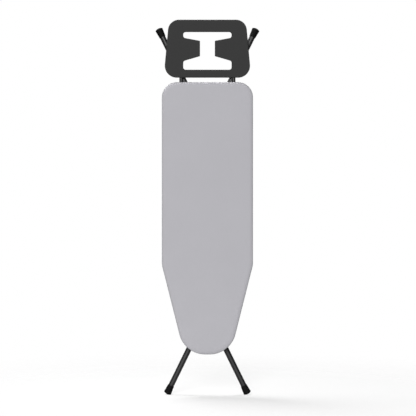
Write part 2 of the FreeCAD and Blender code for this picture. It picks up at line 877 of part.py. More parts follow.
def make_pivot():
    """The axle where the legs cross, with its sleeve, washers and end nuts."""
    axle = make_rod("pivot_axle", "pivot_radius", "2 * pivot_axle_half")
    sleeve_half = "(inner_half - tube_radius)"
    sleeve = ring("pivot_radius + sleeve_wall", "pivot_radius", f"-{sleeve_half}", f"2 * {sleeve_half}")
    keep(sleeve, "pivot_sleeve")
    near = "(inner_half + tube_radius)"
    wide = "(outer_half - tube_radius - side_gap)"
    washers = group("pivot_washers", [
        ring("washer_radius", "pivot_radius", near, f"{wide} - {near}"),
        ring("washer_radius", "pivot_radius", f"-{wide}", f"{wide} - {near}"),
    ])
    nuts = group("pivot_nuts", [pivot_nut(sign) for sign in SIDES.values()])
    for thing in (axle, sleeve, washers, nuts):
        tilt_about_hinge(thing, "-pivot_reach")


def pivot_nut(sign):
    """A six-sided nut on the end of the pivot axle, outside the outer leg."""
    face = "(outer_half + tube_radius + side_gap)"
    foot = face if sign > 0 else f"-{face} - nut_length"
    nut = doc.addObject("Part::Prism", "Nut")
    nut.Polygon = 6
    bind(nut, "Circumradius", "nut_radius")
    bind(nut, "Height", "nut_length")
    nut.Placement = FreeCAD.Placement(Vector(), FreeCAD.Rotation(Vector(0, 1, 0), 90))
    place(nut, x=foot)
    reach = f"pivot_axle_half - {face}"
    bore_foot = face if sign > 0 else f"-({face}) - ({reach})"
    return cut(nut, cylinder("pivot_radius", reach, bore_foot))


def tilt_about_hinge(thing, along):
    """Puts something drawn about a point of the inner leg, a distance along it, in its place."""
    place(
        thing,
        y=f"{at_depth('hinge_depth')} - ({along}) * sin({FOLD})",
        z=f"{HINGE_HEIGHT} + ({along}) * cos({FOLD})",
        tilt=FOLD,
    )


def make_legs():
    """Both legs, each of two tubes with caps, plugs and braces."""
    for side, sign in SIDES.items():
        make_leg_tube(f"{side}_inner_leg", "inner_half", "inner_foot_half", sign, -1, on_inner_leg)
        make_leg_tube(f"{side}_outer_leg", "outer_half", "outer_foot_half", sign, 1, on_outer_leg)
        make_cap(f"{side}_inner_foot", "inner_foot_half", sign, -1, on_inner_leg)
        make_cap(f"{side}_outer_foot", "outer_foot_half", sign, 1, on_outer_leg)
    make_end_plugs("inner_leg_plugs", "inner_half", -1, on_inner_leg)
    make_end_plugs("outer_leg_plugs", "outer_half", 1, on_outer_leg)
    make_brace("inner_top_brace", "inner_half", "-inner_brace_high", on_inner_leg)
    make_brace("inner_foot_brace", "inner_half", "-inner_brace_low", on_inner_leg)
    make_brace("outer_brace", "outer_half", "outer_brace", on_outer_leg)


# ---------------------------------------------------------------- the height rack and its lever

def make_rack():
    """A strip with notches that catch the sliding axle, drawn about its pin as it is when caught."""
    body = new_body("height_rack")
    front, back = "-rack_front", "rack_back"
    notch_depth = "hinge_depth - rack_pin_depth"
    shoulder = "notch_high - rack_pin_height + notch_radius + rack_shoulder"
    foot = f"notch_high - rack_pin_height - {NOTCHES - 1} * notch_pitch - 3 * notch_radius"
    sketch = outline(body, "YZ", [
        (back, foot, "rack_foot_round"),
        (back, "rack_top", "rack_top_round"),
        ("-rack_back", "rack_top", "rack_top_round"),
        ("-rack_back", shoulder, None),
        (front, f"{shoulder} - rack_slope", None),
        (front, foot, "rack_front_round"),
    ], offset="rack_inner")
    pad(body, sketch, "rack_thickness")
    heights = [f"notch_high - rack_pin_height - {i} * notch_pitch" for i in range(NOTCHES)]
    for v in heights:
        mouth = rectangle(
            "-rack_front - notch_mouth", notch_depth, f"{v} - notch_radius", f"{v} + notch_radius")
        pocket(body, outline(body, "YZ", mouth, offset="rack_inner"))
    rounds = [(notch_depth, v, "notch_radius") for v in heights]
    pocket(body, circles(body, "YZ", rounds, offset="rack_inner"))
    bores = [(0, 0, "rack_pin_radius + running_gap"), (0, "lever_high", "lever_radius")]
    pocket(body, circles(body, "YZ", bores, offset="rack_inner"))
    on_lever(body)


def make_lever():
    """The bent wire that swings the rack, and the grip on its end."""
    wire = new_body("lever_wire")
    path = [
        ("rack_inner", "lever_high", None),
        ("lever_out", "lever_high", "lever_bend"),
        ("lever_out", "lever_up", None),
    ]
    sweep_tube(wire, path, "YZ", (0, "lever_high", "rack_inner"), "lever_radius")
    on_lever(wire)
    grip = new_body("lever_grip")
    foot = "(lever_up + grip_over - grip_length)"
    pad(grip, circles(grip, "XY", [("lever_out", 0, "grip_radius")], offset=foot), "grip_length")
    soften(grip, "Fillet", "grip_radius / 2", is_round)
    socket = circles(grip, "XY", [("lever_out", 0, "lever_radius + cap_gap")], offset=foot)
    pocket(grip, socket, f"lever_up - {foot} + cap_gap", back=True)
    on_lever(grip)


def make_rack_mount():
    """The bracket, pin and spring that hold the rack to the right bar."""
    wall = "bracket_wall"
    near = "(rack_inner + rack_thickness + side_gap)"
    y, foot = at_depth(BAR_BACK), "rack_bracket_foot"
    high = "(rack_bracket_top - rack_bracket_foot)"
    ear = block(wall, f"rack_pin_depth + rack_bracket_ear - {BAR_BACK}", high, near, y, foot)
    base = block(f"guide_middle + rack_bracket_base - {near}", wall, high, near, y, foot)
    pin_y = at_depth("rack_pin_depth")
    bore = cylinder("rack_pin_radius", wall, near, pin_y, "rack_pin_height")
    hole = cylinder("rivet_radius", wall, "guide_middle", y, "rack_pin_height", "Y")
    keep(cut(fuse(ear, base), fuse(bore, hole)), "rack_bracket")
    head_wall, start = "rack_pin_head_wall", "rack_inner - side_gap"
    head = cylinder("rack_pin_head", head_wall, f"{start} - {head_wall}", pin_y, "rack_pin_height")
    shank = cylinder("rack_pin_radius", "rack_pin_length", start, pin_y, "rack_pin_height")
    keep(fuse(head, shank), "rack_pin")
    make_spring(f"{near} + {wall} + spring_gap")


def make_spring(start):
    """The coil that presses the rack towards the sliding axle."""
    coil = doc.addObject("Part::Helix", "Coil")
    bind(coil, "Radius", "spring_radius")
    bind(coil, "Pitch", "spring_pitch")
    bind(coil, "Height", "spring_pitch * spring_turns")
    section = doc.addObject("Part::Circle", "Wire")
    bind(section, "Radius", "spring_wire")
    section.Placement = FreeCAD.Placement(Vector(), FreeCAD.Rotation(Vector(1, 0, 0), 90))
    place(section, x="spring_radius")
    spring = doc.addObject("Part::Sweep", "Spring")
    spring.Sections = [section]
    spring.Spine = (coil, ["Edge1"])
    spring.Solid = True
    spring.Frenet = True
    keep(spring, "rack_spring")
    spring.Placement = FreeCAD.Placement(Vector(), FreeCAD.Rotation(Vector(0, 1, 0), 90))
    place(spring, x=start, y=at_depth("rack_pin_depth"), z="rack_pin_height")


def make_transport_clip():
    """A fork on the inner heel rib that holds the outer leg's brace when the legs are folded."""
    body = new_body("transport_clip")
    brace_depth = f"hinge_depth + outer_brace * sin({FOLD})"
    gap = "(brace_radius + clip_gap)"
    floor = f"({brace_depth} - {gap} - {RIB_BACK})"
    tip = f"({brace_depth} + brace_radius / 2 - {RIB_BACK})"
    outer = f"({gap} + clip_wall)"
    section = outline(body, "YZ", [
        (0, "-clip_stem", None),
        (f"{floor} - clip_wall", "-clip_stem", None),
        (f"{floor} - clip_wall", f"-{outer}", None),
        (tip, f"-{outer}", None),
        (tip, f"-{gap}", None),
        (floor, f"-{gap}", None),
        (floor, gap, None),
        (tip, gap, None),
        (tip, outer, None),
        (f"{floor} - clip_wall", outer, None),
        (f"{floor} - clip_wall", "clip_stem", None),
        (0, "clip_stem", None),
    ])
    pad(body, section, "clip_width", both=True)
    place(body, y=at_depth(RIB_BACK), z=f"{SLIDE_HEIGHT} + outer_brace * cos({FOLD})")


# ---------------------------------------------------------------- the iron rest

def rest_corners(inset=0):
    """The rest plate's outline, drawn in by an inset."""
    slope = "atan((rest_width_low - rest_width_high) / 2 / rest_height)"
    low = f"rest_width_low / 2 - ({inset}) * tan(45 deg + 0.5 * {slope})"
    high = f"rest_width_high / 2 - ({inset}) * tan(45 deg - 0.5 * {slope})"
    return mirrored([
        (low, inset, f"rest_radius_low - ({inset})"),
        (high, f"rest_height - ({inset})", f"rest_radius_high - ({inset})"),
    ])


def slot_corners():
    """The opening in the rest plate: two cross slots joined by an upright one."""
    return mirrored([
        ("slot_half", "slot_low", "slot_radius"),
        ("slot_half", "slot_low_end", "slot_radius"),
        ("slot_web", "slot_low_web", "slot_web_radius"),
        ("slot_web", "slot_high_web", "slot_web_radius"),
        ("slot_half", "slot_high_end", "slot_radius"),
        ("slot_half", "slot_high", "slot_radius"),
    ])


def make_rest_plate():
    """A pressed plate with rolled edges, open at the back."""
    body = new_body("rest_plate")
    pad(body, outline(body, "XZ", rest_corners(), slot_corners()), "rest_skirt", back=True)
    front = flat_at("Y", 0)
    margin = 1
    slot_half, slot_high = number("slot_half") + margin, number("slot_high") + margin

    def at_slot(edge):
        box = edge.BoundBox
        across = max(box.XMax, -box.XMin) < slot_half
        return across and margin < box.ZMin and box.ZMax < slot_high

    soften(body, "Fillet", "rest_roll", lambda edge: front(edge) and not at_slot(edge))
    soften(body, "Fillet", "slot_roll", lambda edge: front(edge) and at_slot(edge))
    solid = body.Tip
    back = max(body.Shape.Faces, key=lambda face: face.CenterOfMass.y)
    name = [f"Face{i}" for i, face in enumerate(body.Shape.Faces, 1) if face.isSame(back)][0]
    shell = body.newObject("PartDesign::Thickness", "Thickness")
    shell.Base = (solid, [name])
    bind(shell, "Value", "rest_sheet")
    shell.Reversed = True
    doc.recompute()
    place(body, y=at_depth("rest_front"), z=REST_FOOT)


def make_rest_frame():
    """The bent tube that carries the plate, running down under the board's heel."""
    body = new_body("rest_frame")
    path = [
        ("-arm_half", "arm_foot", None),
        ("-arm_half", "arm_top", "arm_bend"),
        ("arm_half", "arm_top", "arm_bend"),
        ("arm_half", "arm_foot", None),
    ]
    sweep_tube(body, path, "XY", ("-arm_half", 0, "arm_foot"), "arm_radius", "arm_wall")
    place(body, y=at_depth("arm_depth"))
    plugs = []
    for sign in SIDES.values():
        x = f"{sign} * arm_half"
        y = at_depth("arm_depth")
        cap = cylinder("arm_radius", "plug_cap", x, y, "arm_foot - plug_cap", "Z")
        inside = "arm_radius - arm_wall - cap_gap"
        plugs.append(fuse(cap, cylinder(inside, "2 * plug_spigot", x, y, "arm_foot", "Z")))
    group("rest_frame_plugs", plugs)


def make_rest_posts():
    """Blocks that space the plate from its frame and are shaped to sit on the tube."""
    posts = []
    front = "(rest_front + rest_sheet)"
    for sign in SIDES.values():
        for along in ("rest_post_low", "rest_post_high"):
            x, foot = f"{sign} * arm_half", f"({REST_FOOT} + {along} - rest_post_length / 2)"
            post = block(
                "rest_post_width", f"arm_depth - arm_radius / 2 - {front}", "rest_post_length",
                f"{x} - rest_post_width / 2", at_depth(front), foot)
            tube = cylinder(
                "arm_radius", "rest_post_length", x, at_depth("arm_depth"), foot, "Z")
            posts.append(cut(post, tube))
    group("rest_posts", posts)


def rest_clamp(x, height):
    """A clamp that holds a frame tube to a heel rib by its two flanges."""
    y, foot = at_depth(RIB_BACK), f"{height} - clamp_length / 2"
    flange = block(
        "clamp_flange", "clamp_flange_wall", "clamp_length", f"{x} - clamp_flange / 2", y, foot)
    hump = block(
        "clamp_width", f"clamp_back - {RIB_BACK}", "clamp_length", f"{x} - clamp_width / 2", y, foot)
    tube = cylinder("arm_radius", "clamp_length", x, at_depth("arm_depth"), foot, "Z")
    holes = [
        cylinder("rivet_radius", "clamp_flange_wall", clamp_hole(x, way), y, height, "Y")
        for way in SIDES.values()
    ]
    return cut(fuse(flange, hump), fuse(tube, *holes))


def clamp_hole(x, way):
    """The X of a clamp's rivet on one side of its tube."""
    return f"{x} + {way} * (clamp_flange + clamp_width) / 4"


def make_rest_clamps():
    clamps, rivets = [], []
    for sign in SIDES.values():
        x = f"{sign} * arm_half"
        for height in HEEL_RIBS.values():
            clamps.append(rest_clamp(x, height))
            for way in SIDES.values():
                back = f"{RIB_BACK} + clamp_flange_wall"
                front = f"({RIB_BACK} - rib_wall)"
                rivets.append(rivet(clamp_hole(x, way), height, front, back))
    group("rest_clamps", clamps)
    group("clamp_rivets", rivets)


# ---------------------------------------------------------------- the whole board

def make_board():
    """The ironing surface and the steel behind it."""
    make_layer("cover", 0, "cover_thickness", 0)
    make_layer("pad", "cover_thickness", "pad_thickness", "pad_inset")
    make_layer("mesh_top", MESH_FRONT, "mesh_thickness", "rim_inset + rim_wall + mesh_gap")
    make_rim()
    for label, height in BAR_RIBS.items():
        make_rib(label, height, [f"{sign} * bar_middle" for sign in SIDES.values()])
    clamp_holes = [
        clamp_hole(f"{sign} * arm_half", way) for sign in SIDES.values() for way in SIDES.values()
    ]
    for label, height in HEEL_RIBS.items():
        make_rib(label, height, clamp_holes)


def make_fittings():
    """What holds the legs to the board."""
    for side in SIDES:
        make_bar(side)
        make_hinge_bracket(side)
        make_guide_rod(side)
        make_guide_supports(side)
        make_slider(side)
    make_rivets()
    make_hinge_axle()
    make_hinge_sleeves()
    make_slide_axle()
    make_pivot()


def check_and_write():
    """Stops on any failed object or bad shape, then writes a STEP file for each sub-part."""
    doc.recompute()
    for thing in doc.Objects:
        if "Invalid" in thing.State or "Error" in thing.State:
            raise RuntimeError(f"{thing.Name} ({thing.Label}) failed: {thing.State}")
    os.makedirs("parts", exist_ok=True)
    for node in nodes:
        if node.Shape.isNull() or not node.Shape.isValid():
            raise RuntimeError(f"{node.Label} has no valid shape")
        node.Shape.exportStep(f"parts/{node.Label}.step")


fill_sheet()
make_board()
make_fittings()
make_legs()
make_rack()
make_lever()
make_rack_mount()
make_transport_clip()
make_rest_plate()
make_rest_frame()
make_rest_posts()
make_rest_clamps()
check_and_write()
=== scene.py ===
"""The ironing board's looks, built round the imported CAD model, in metres and in the CAD's frame."""
import json
import math

import bmesh
import bpy
from mathutils import Matrix, Vector, noise


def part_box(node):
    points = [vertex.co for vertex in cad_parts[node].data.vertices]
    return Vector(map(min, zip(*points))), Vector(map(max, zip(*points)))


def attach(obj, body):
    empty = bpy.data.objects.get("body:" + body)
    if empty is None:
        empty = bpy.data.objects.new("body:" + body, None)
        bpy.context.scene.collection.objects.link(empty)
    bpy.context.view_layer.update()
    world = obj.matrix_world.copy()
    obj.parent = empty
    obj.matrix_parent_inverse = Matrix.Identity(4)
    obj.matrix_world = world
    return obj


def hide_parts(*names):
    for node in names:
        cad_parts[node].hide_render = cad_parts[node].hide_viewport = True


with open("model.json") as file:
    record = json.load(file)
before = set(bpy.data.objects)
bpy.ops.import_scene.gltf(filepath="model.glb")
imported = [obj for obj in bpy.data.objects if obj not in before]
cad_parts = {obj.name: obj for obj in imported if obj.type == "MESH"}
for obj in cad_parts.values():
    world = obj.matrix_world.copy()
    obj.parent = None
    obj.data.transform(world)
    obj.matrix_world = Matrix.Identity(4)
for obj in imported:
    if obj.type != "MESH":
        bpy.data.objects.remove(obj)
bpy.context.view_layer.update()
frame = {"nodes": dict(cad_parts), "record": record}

# ---------------------------------------------------------------- sizes

MM = 0.001

# The ironing surface's outline, as in the CAD.
TAPER_LENGTH = 395 * MM
NOSE_HALF = 101.5 * MM
NOSE_RADIUS = 118 * MM
SHOULDER_RADIUS = 90 * MM
HEEL_RADIUS = 67 * MM

# The cover's edge: a soft roll over the pad, a skirt down to the hem, and the hem turned in behind, in mm.
ROLL_WIDTH = 20.0
ROLL_DEPTH = 9.0
ROLL_POINTS = 12
ROLL_START = (0.55, 0.45)
SKIRT = [
    (0.7, 11.5), (1.1, 13.5), (1.7, 15.5), (2.4, 17.6), (3.4, 19.2),
    (5, 20.2), (7, 20.6), (9.2, 20.6), (11, 20.3),
]
HEM_ROLL = [(12.2, 20.7), (13.3, 20.8), (13.9, 20.3), (13.4, 19.8), (12.3, 19.7)]
COVER_CLOTH = 0.6 * MM
COVER_STEP = 2.6 * MM
COVER_INSET = 0.3
FACE_RINGS = 10
MIDDLE_LINE_END = HEEL_RADIUS * 1.6
MERGE_DISTANCE = 0.05 * MM

# The cloth's gathers. They grow from a depth of PUCKER_START over PUCKER_REACH, in mm, and push in and out,
# by up to PUCKER_LIMIT outwards. Behind BACK_INSET and BACK_DEPTH they push to and fro as well.
PUCKER_START = 3.0
PUCKER_REACH = 16
PUCKER_SIDE = 0.55 * MM
PUCKER_LIMIT = 0.3 * MM
PUCKER_BACK = 0.32 * MM
SIDE_INSET = 5
BACK_INSET = 3.4
BACK_DEPTH = 15
STRAIGHT_FULLNESS = 0.35

# The gathers' waves (how many round the outline, phase, weight), and a slow swell that varies their height.
GATHER_WAVES = ((188, 0.0, 0.5), (251, 1.3, 0.3), (317, 2.9, 0.2))
SWELL_ROUND = 6
SWELL_SEED = 0.7
SWELL_HEIGHT = 0.9

# The stitches along the hem: where they are, in mm, and their size.
STITCH_INSET = 10.4
STITCH_DEPTH = 20.55
STITCH_PITCH = 4.2 * MM
STITCH_LENGTH = 3.0 * MM
STITCH_RADIUS = 0.28 * MM
STITCH_RISE = 0.315 * MM
STITCH_DIP = 1.44 * MM

# The slight unevenness of the face: (waves per metre across, and along, seed, height).
FACE_RELIEF = [(9, 6, 0.2, 0.16 * MM), (34, 21, 4.4, 0.05 * MM)]

# The pad follows the cover from this gap inside it, down to its back face, in mm.
PAD_GAP = 0.75
PAD_BACK = 7.15
PAD_ROLL_END = PAD_BACK - 0.6
PAD_BACK_ROLL = [(1.9, PAD_BACK - 0.5), (2.6, PAD_BACK)]
PAD_MIDDLE = 40
EDGE_STEP = 6 * MM

# The expanded mesh: diamonds with strands this wide, and a plain border between two insets in mm.
MESH_LONG = 20 * MM
MESH_SHORT = 10 * MM
MESH_STRAND = 2.1 * MM
SAME_CORNER = 0.1 * MM
STRAND_ACROSS = 1.25 * MESH_STRAND
STRAND_ALONG = 0.62 * MESH_STRAND
STRAND_THICKNESS = 0.8
MESH_BORDER = 15 * MM
MESH_EDGE_STEP = 12 * MM
BORDER_OUTER = 5.8
BORDER_INNER = 23

# The rack's torsion spring and its two straight legs.
SPRING_RADIUS = 5 * MM
SPRING_WIRE = 0.7 * MM
SPRING_TURNS = 5.25
SPRING_STEPS = 24
SPRING_FOOT = 6 * MM
SPRING_HOOK = 9 * MM

# The lever's grip: rounded ends, finger grooves and a slight waist, as shares of its radius.
GRIP_LENGTH = 92 * MM
GRIP_TILT = math.radians(5.5)
GRIP_START = 6 * MM
GRIP_END = 12 * MM
GRIP_DOME = 8 * MM
GRIP_DOME_STEPS = 8
GRIP_STEPS = 40
GRIP_GROOVES = 9
GROOVE_DEPTH = 0.10
GRIP_WAIST = 0.06

# The grip's open end: (share of its radius, height above the end).
GRIP_MOUTH = [(0, 0), (0.72, 0), (0.9, 1.2 * MM), (1, 4 * MM)]

# Welds: a rippled bead round each end of a brace.
LEG_TILT = math.radians(1.91)
BRACE_RADIUS = 8 * MM
TUBE_RADIUS = 12.5 * MM
INNER_HALF = 38 * MM
OUTER_HALF = 70 * MM
WELD_RADIUS = 1.15 * MM
WELD_RIPPLE = 0.25 * MM
RIPPLE_STEPS = 6
WELD_STEPS = 132

# Edges sharper than this stay sharp.
SHARP_ANGLE = math.radians(32)

# Camera and stage.
LENS = 137.8
CAMERA_DISTANCE = 7.0
VIEW_HEIGHT = 0.8284
VIEW_SIDE = 0.0026
FLOOR_WHITE = 0.35
FLOOR_GLOW = 0.605
FLOOR_GLOW_UNSEEN = 0.15
FLOOR_FADE = (0.2, 2.1)
FLOOR_SIZE = 2 * 1.1 * FLOOR_FADE[1]
WORLD_EDGES = (-0.9, 0.6)
WORLD_LEFT = 0.16
WORLD_RIGHT = 0.10


# ---------------------------------------------------------------- meshes

def add_mesh(name, points, faces, body, material, smooth=True):
    """A mesh piece that rides on a body and takes its finish from a slot."""
    data = bpy.data.meshes.new(name)
    data.from_pydata([tuple(p) for p in points], [], faces)
    data.validate()
    data.update()
    for face in data.polygons:
        face.use_smooth = smooth
    piece = bpy.data.objects.new(name, data)
    bpy.context.collection.objects.link(piece)
    data.materials.append(material)
    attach(piece, body)
    return piece


def face_outwards(piece):
    """Points every face of a closed mesh outwards."""
    shape = bmesh.new()
    shape.from_mesh(piece.data)
    bmesh.ops.recalc_face_normals(shape, faces=shape.faces)
    shape.to_mesh(piece.data)
    shape.free()


def apply_modifier(piece, kind, **settings):
    """Adds a modifier with these settings and applies it."""
    modifier = piece.modifiers.new(kind.title(), kind)
    for key, value in settings.items():
        setattr(modifier, key, value)
    graph = bpy.context.evaluated_depsgraph_get()
    done = bpy.data.meshes.new_from_object(piece.evaluated_get(graph))
    piece.modifiers.clear()
    piece.data = done


def rings_to_faces(rings, count, start=0):
    """Quads between rings of count points each."""
    faces = []
    for r in range(rings - 1):
        for i in range(count):
            j = (i + 1) % count
            a, b = start + r * count, start + (r + 1) * count
            faces.append((a + i, a + j, b + j, b + i))
    return faces


def tube_mesh(path, radius, sides=8, closed=False):
    """Points and faces of a tube along a path. radius is a number or a function of the point's index."""
    points, faces = [], []
    count = len(path)
    side = None
    for i, here in enumerate(path):
        before = path[i - 1] if closed or i else here
        after = path[(i + 1) % count] if closed or i < count - 1 else here
        along = (after - before).normalized()
        if side is None:
            side = along.orthogonal().normalized()
        side = (side - along * side.dot(along)).normalized()
        up = along.cross(side)
        size = radius(i) if callable(radius) else radius
        for k in range(sides):
            turn = 2 * math.pi * k / sides
            points.append(here + (side * math.cos(turn) + up * math.sin(turn)) * size)
    faces = rings_to_faces(count, sides)
    if closed:
        last = (count - 1) * sides
        faces += [(last + k, last + (k + 1) % sides, (k + 1) % sides, k) for k in range(sides)]
    else:
        faces.append(tuple(reversed(range(sides))))
        faces.append(tuple(range((count - 1) * sides, count * sides)))
    return points, faces


def lathe(profile, sides=48):
    """Points and faces of a closed shape turned about Z from (radius, height) pairs between two poles."""
    points = [Vector((0, 0, profile[0][1]))]
    inner = profile[1:-1]
    for radius, height in inner:
        for k in range(sides):
            turn = 2 * math.pi * k / sides
            points.append(Vector((radius * math.cos(turn), radius * math.sin(turn), height)))
    points.append(Vector((0, 0, profile[-1][1])))
    faces = rings_to_faces(len(inner), sides, start=1)
    end = len(points) - 1
    first = 1 + (len(inner) - 1) * sides
    for k in range(sides):
        j = (k + 1) % sides
        faces.append((0, 1 + j, 1 + k))
        faces.append((first + k, first + j, end))
    return points, faces


# ---------------------------------------------------------------- the board's outline

def board_corners():
    """The right side's corners (x, z, radius) from the nose up, then the left side's back down."""
    low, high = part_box("cover")
    right = [
        (NOSE_HALF, low.z, NOSE_RADIUS),
        (high.x, low.z + TAPER_LENGTH, SHOULDER_RADIUS),
        (high.x, high.z, HEEL_RADIUS),
    ]
    return right + [(-x, z, radius) for x, z, radius in reversed(right)]


def walk_outline(step):
    """Points (x, z) and outward normals round the outline, about a step apart."""
    corners = board_corners()
    count = len(corners)
    runs = []
    for i, (x, z, radius) in enumerate(corners):
        here = Vector((x, z))
        back = (Vector(corners[i - 1][:2]) - here).normalized()
        ahead = (Vector(corners[(i + 1) % count][:2]) - here).normalized()
        half = back.angle(ahead) / 2
        centre = here + (back + ahead).normalized() * (radius / math.sin(half))
        cut = radius / math.tan(half)
        runs.append((here + back * cut, here + ahead * cut, centre, radius))
    points, normals = [], []
    for i, (enter, leave, centre, radius) in enumerate(runs):
        start, end = enter - centre, leave - centre
        angle = start.angle_signed(end)
        pieces = max(3, round(abs(angle) * radius / step))
        for k in range(pieces):
            turn = -angle * k / pieces
            spoke = Vector((
                start.x * math.cos(turn) - start.y * math.sin(turn),
                start.x * math.sin(turn) + start.y * math.cos(turn),
            ))
            points.append(centre + spoke)
            normals.append(spoke.normalized())
        following = runs[(i + 1) % count][0]
        along = following - leave
        pieces = max(1, round(along.length / step))
        outward = Vector((along.y, -along.x)).normalized()
        for k in range(pieces):
            points.append(leave + along * (k / pieces))
            normals.append(outward)
    return points, normals


def measure(points):
    """How far along the closed outline each point is, from 0 to 1."""
    lengths = [(points[i] - points[i - 1]).length for i in range(len(points))]
    total = sum(lengths)
    found, run = [], 0.0
    for i in range(len(points)):
        run += lengths[i] if i else 0.0
        found.append(run / total)
    return found, total


def gathers(share):
    """The pucker of gathered cloth at a share of the way round, from -1 to 1."""
    turn = 2 * math.pi * share
    ripple = sum(weight * math.sin(count * turn + phase) for count, phase, weight in GATHER_WAVES)
    swell = noise.noise(Vector((math.cos(turn) * SWELL_ROUND, math.sin(turn) * SWELL_ROUND, SWELL_SEED)))
    return ripple * (1 + SWELL_HEIGHT * swell)


def corner_fullness(normal):
    """How gathered the cloth is: little on the straight sides, most round the nose and the heel."""
    return STRAIGHT_FULLNESS + (1 - STRAIGHT_FULLNESS) * (1 - abs(normal.x) ** 3)


# ---------------------------------------------------------------- the cover

def roll_section(gap):
    """The soft edge's section (inset, depth) in mm from the face to the side, this gap inside the cover."""
    section = []
    for k in range(ROLL_POINTS + 1):
        turn = math.pi / 2 * k / ROLL_POINTS
        inset = ROLL_START[0] + gap + (ROLL_WIDTH - gap) * (1 - math.sin(turn))
        depth = ROLL_START[1] + gap + (ROLL_DEPTH - gap) * (1 - math.cos(turn))
        section.append((inset, depth))
    return section


def cover_point(point, normal, inset, depth, pucker, front):
    """A point of the cover's edge, puckered more the nearer it is to the hem."""
    share = max(0.0, min(1.0, (depth - PUCKER_START) / PUCKER_REACH))
    side = PUCKER_SIDE * pucker * (share if inset < SIDE_INSET else 0.5)
    back = PUCKER_BACK * pucker if inset >= BACK_INSET and depth > BACK_DEPTH else 0.0
    flat = point - normal * (max(inset, COVER_INSET) * MM) + normal * min(side, PUCKER_LIMIT)
    return Vector((flat.x, front + depth * MM + back, flat.y))


def face_ring(points, normals, share, front):
    """A ring of the flat face, part of the way from the edge's inner ring to the middle line."""
    low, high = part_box("cover")
    bottom, top = low.z + NOSE_RADIUS, high.z - MIDDLE_LINE_END
    inset, depth = roll_section(0.0)[0]
    found = []
    for point, normal in zip(points, normals):
        edge = point - normal * (inset * MM)
        middle = Vector((0, min(max(edge.y, bottom), top)))
        flat = edge.lerp(middle, share)
        found.append(Vector((flat.x, front + depth * MM + cloth_relief(flat), flat.y)))
    return found


def cloth_relief(flat):
    """The slight unevenness of stretched cloth on felt."""
    return sum(
        height * noise.noise(Vector((flat.x * across, flat.y * along, seed)))
        for across, along, seed, height in FACE_RELIEF
    )


def make_cover(material, thread):
    """The fitted cotton cover, and the row of stitches along its elastic hem."""
    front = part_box("cover")[0].y
    points, normals = walk_outline(COVER_STEP)
    shares, around = measure(points)
    puckers = [gathers(s) * corner_fullness(n) for s, n in zip(shares, normals)]
    vertices = []
    section = roll_section(0.0) + SKIRT + HEM_ROLL
    for inset, depth in reversed(section):
        for point, normal, pucker in zip(points, normals, puckers):
            vertices.append(cover_point(point, normal, inset, depth, pucker, front))
    for k in range(1, FACE_RINGS):
        vertices += face_ring(points, normals, k / FACE_RINGS, front)
    vertices += face_ring(points, normals, 1.0, front)
    rings = len(section) + FACE_RINGS
    faces = rings_to_faces(rings, len(points))
    cover = add_mesh("fitted_cover", vertices, faces, "board", material)
    close_middle(cover)
    apply_modifier(cover, "SOLIDIFY", thickness=COVER_CLOTH, offset=-1.0)
    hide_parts("cover")
    stitches = make_stitches(points, normals, around, front, thread)


def close_middle(piece):
    """Joins the innermost ring's two halves along the middle line and evens out the normals."""
    shape = bmesh.new()
    shape.from_mesh(piece.data)
    bmesh.ops.remove_doubles(shape, verts=shape.verts, dist=MERGE_DISTANCE)
    bmesh.ops.recalc_face_normals(shape, faces=shape.faces)
    in_front = Vector((0, -1, 0.8))
    middle = min(shape.faces, key=lambda face: (face.calc_center_median() - in_front).length)
    if middle.normal.y > 0:
        bmesh.ops.reverse_faces(shape, faces=shape.faces)
    shape.to_mesh(piece.data)
    shape.free()
    for face in piece.data.polygons:
        face.use_smooth = True


def make_stitches(points, normals, around, front, material):
    """One row of short thread stitches on the hem, on the underside."""
    count = round(around / STITCH_PITCH)
    every = len(points) / count
    vertices, faces = [], []
    for k in range(count):
        at = int(k * every)
        point, normal = points[at], normals[at]
        along = Vector((-normal.y, normal.x))
        middle = point - normal * (STITCH_INSET * MM)
        path = []
        for t in (-0.5, -0.25, 0, 0.25, 0.5):
            flat = middle + along * (t * STITCH_LENGTH)
            rise = STITCH_RISE - STITCH_DIP * t * t
            path.append(Vector((flat.x, front + STITCH_DEPTH * MM + rise, flat.y)))
        tube_points, tube_faces = tube_mesh(path, STITCH_RADIUS, sides=5)
        start = len(vertices)
        vertices += tube_points
        faces += [tuple(start + v for v in face) for face in tube_faces]
    return add_mesh("hem_stitches", vertices, faces, "board", material)


# ---------------------------------------------------------------- pad and mesh

def make_pad(material):
    """The felt pad between the cover and the mesh, soft along its edge."""
    points, normals = walk_outline(EDGE_STEP)
    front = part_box("cover")[0].y
    section = [(inset, depth) for inset, depth in roll_section(PAD_GAP) if depth < PAD_ROLL_END]
    section += PAD_BACK_ROLL + [(PAD_MIDDLE, PAD_BACK)]
    section = [(PAD_MIDDLE, section[0][1])] + section
    vertices = []
    for inset, depth in section:
        for point, normal in zip(points, normals):
            flat = point - normal * (inset * MM)
            vertices.append(Vector((flat.x, front + depth * MM, flat.y)))
    faces = rings_to_faces(len(section), len(points))
    faces.append(tuple(range(len(points))))
    last = (len(section) - 1) * len(points)
    faces.append(tuple(range(last, last + len(points))))
    pad = add_mesh("felt_underlay", vertices, faces, "board", material)
    face_outwards(pad)
    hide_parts("pad")


def inside_outline(x, z, points, normals):
    """How far a point is inside the outline, from the nearest outline point."""
    here = Vector((x, z))
    nearest = min(range(len(points)), key=lambda i: (points[i] - here).length_squared)
    return (points[nearest] - here).dot(normals[nearest])


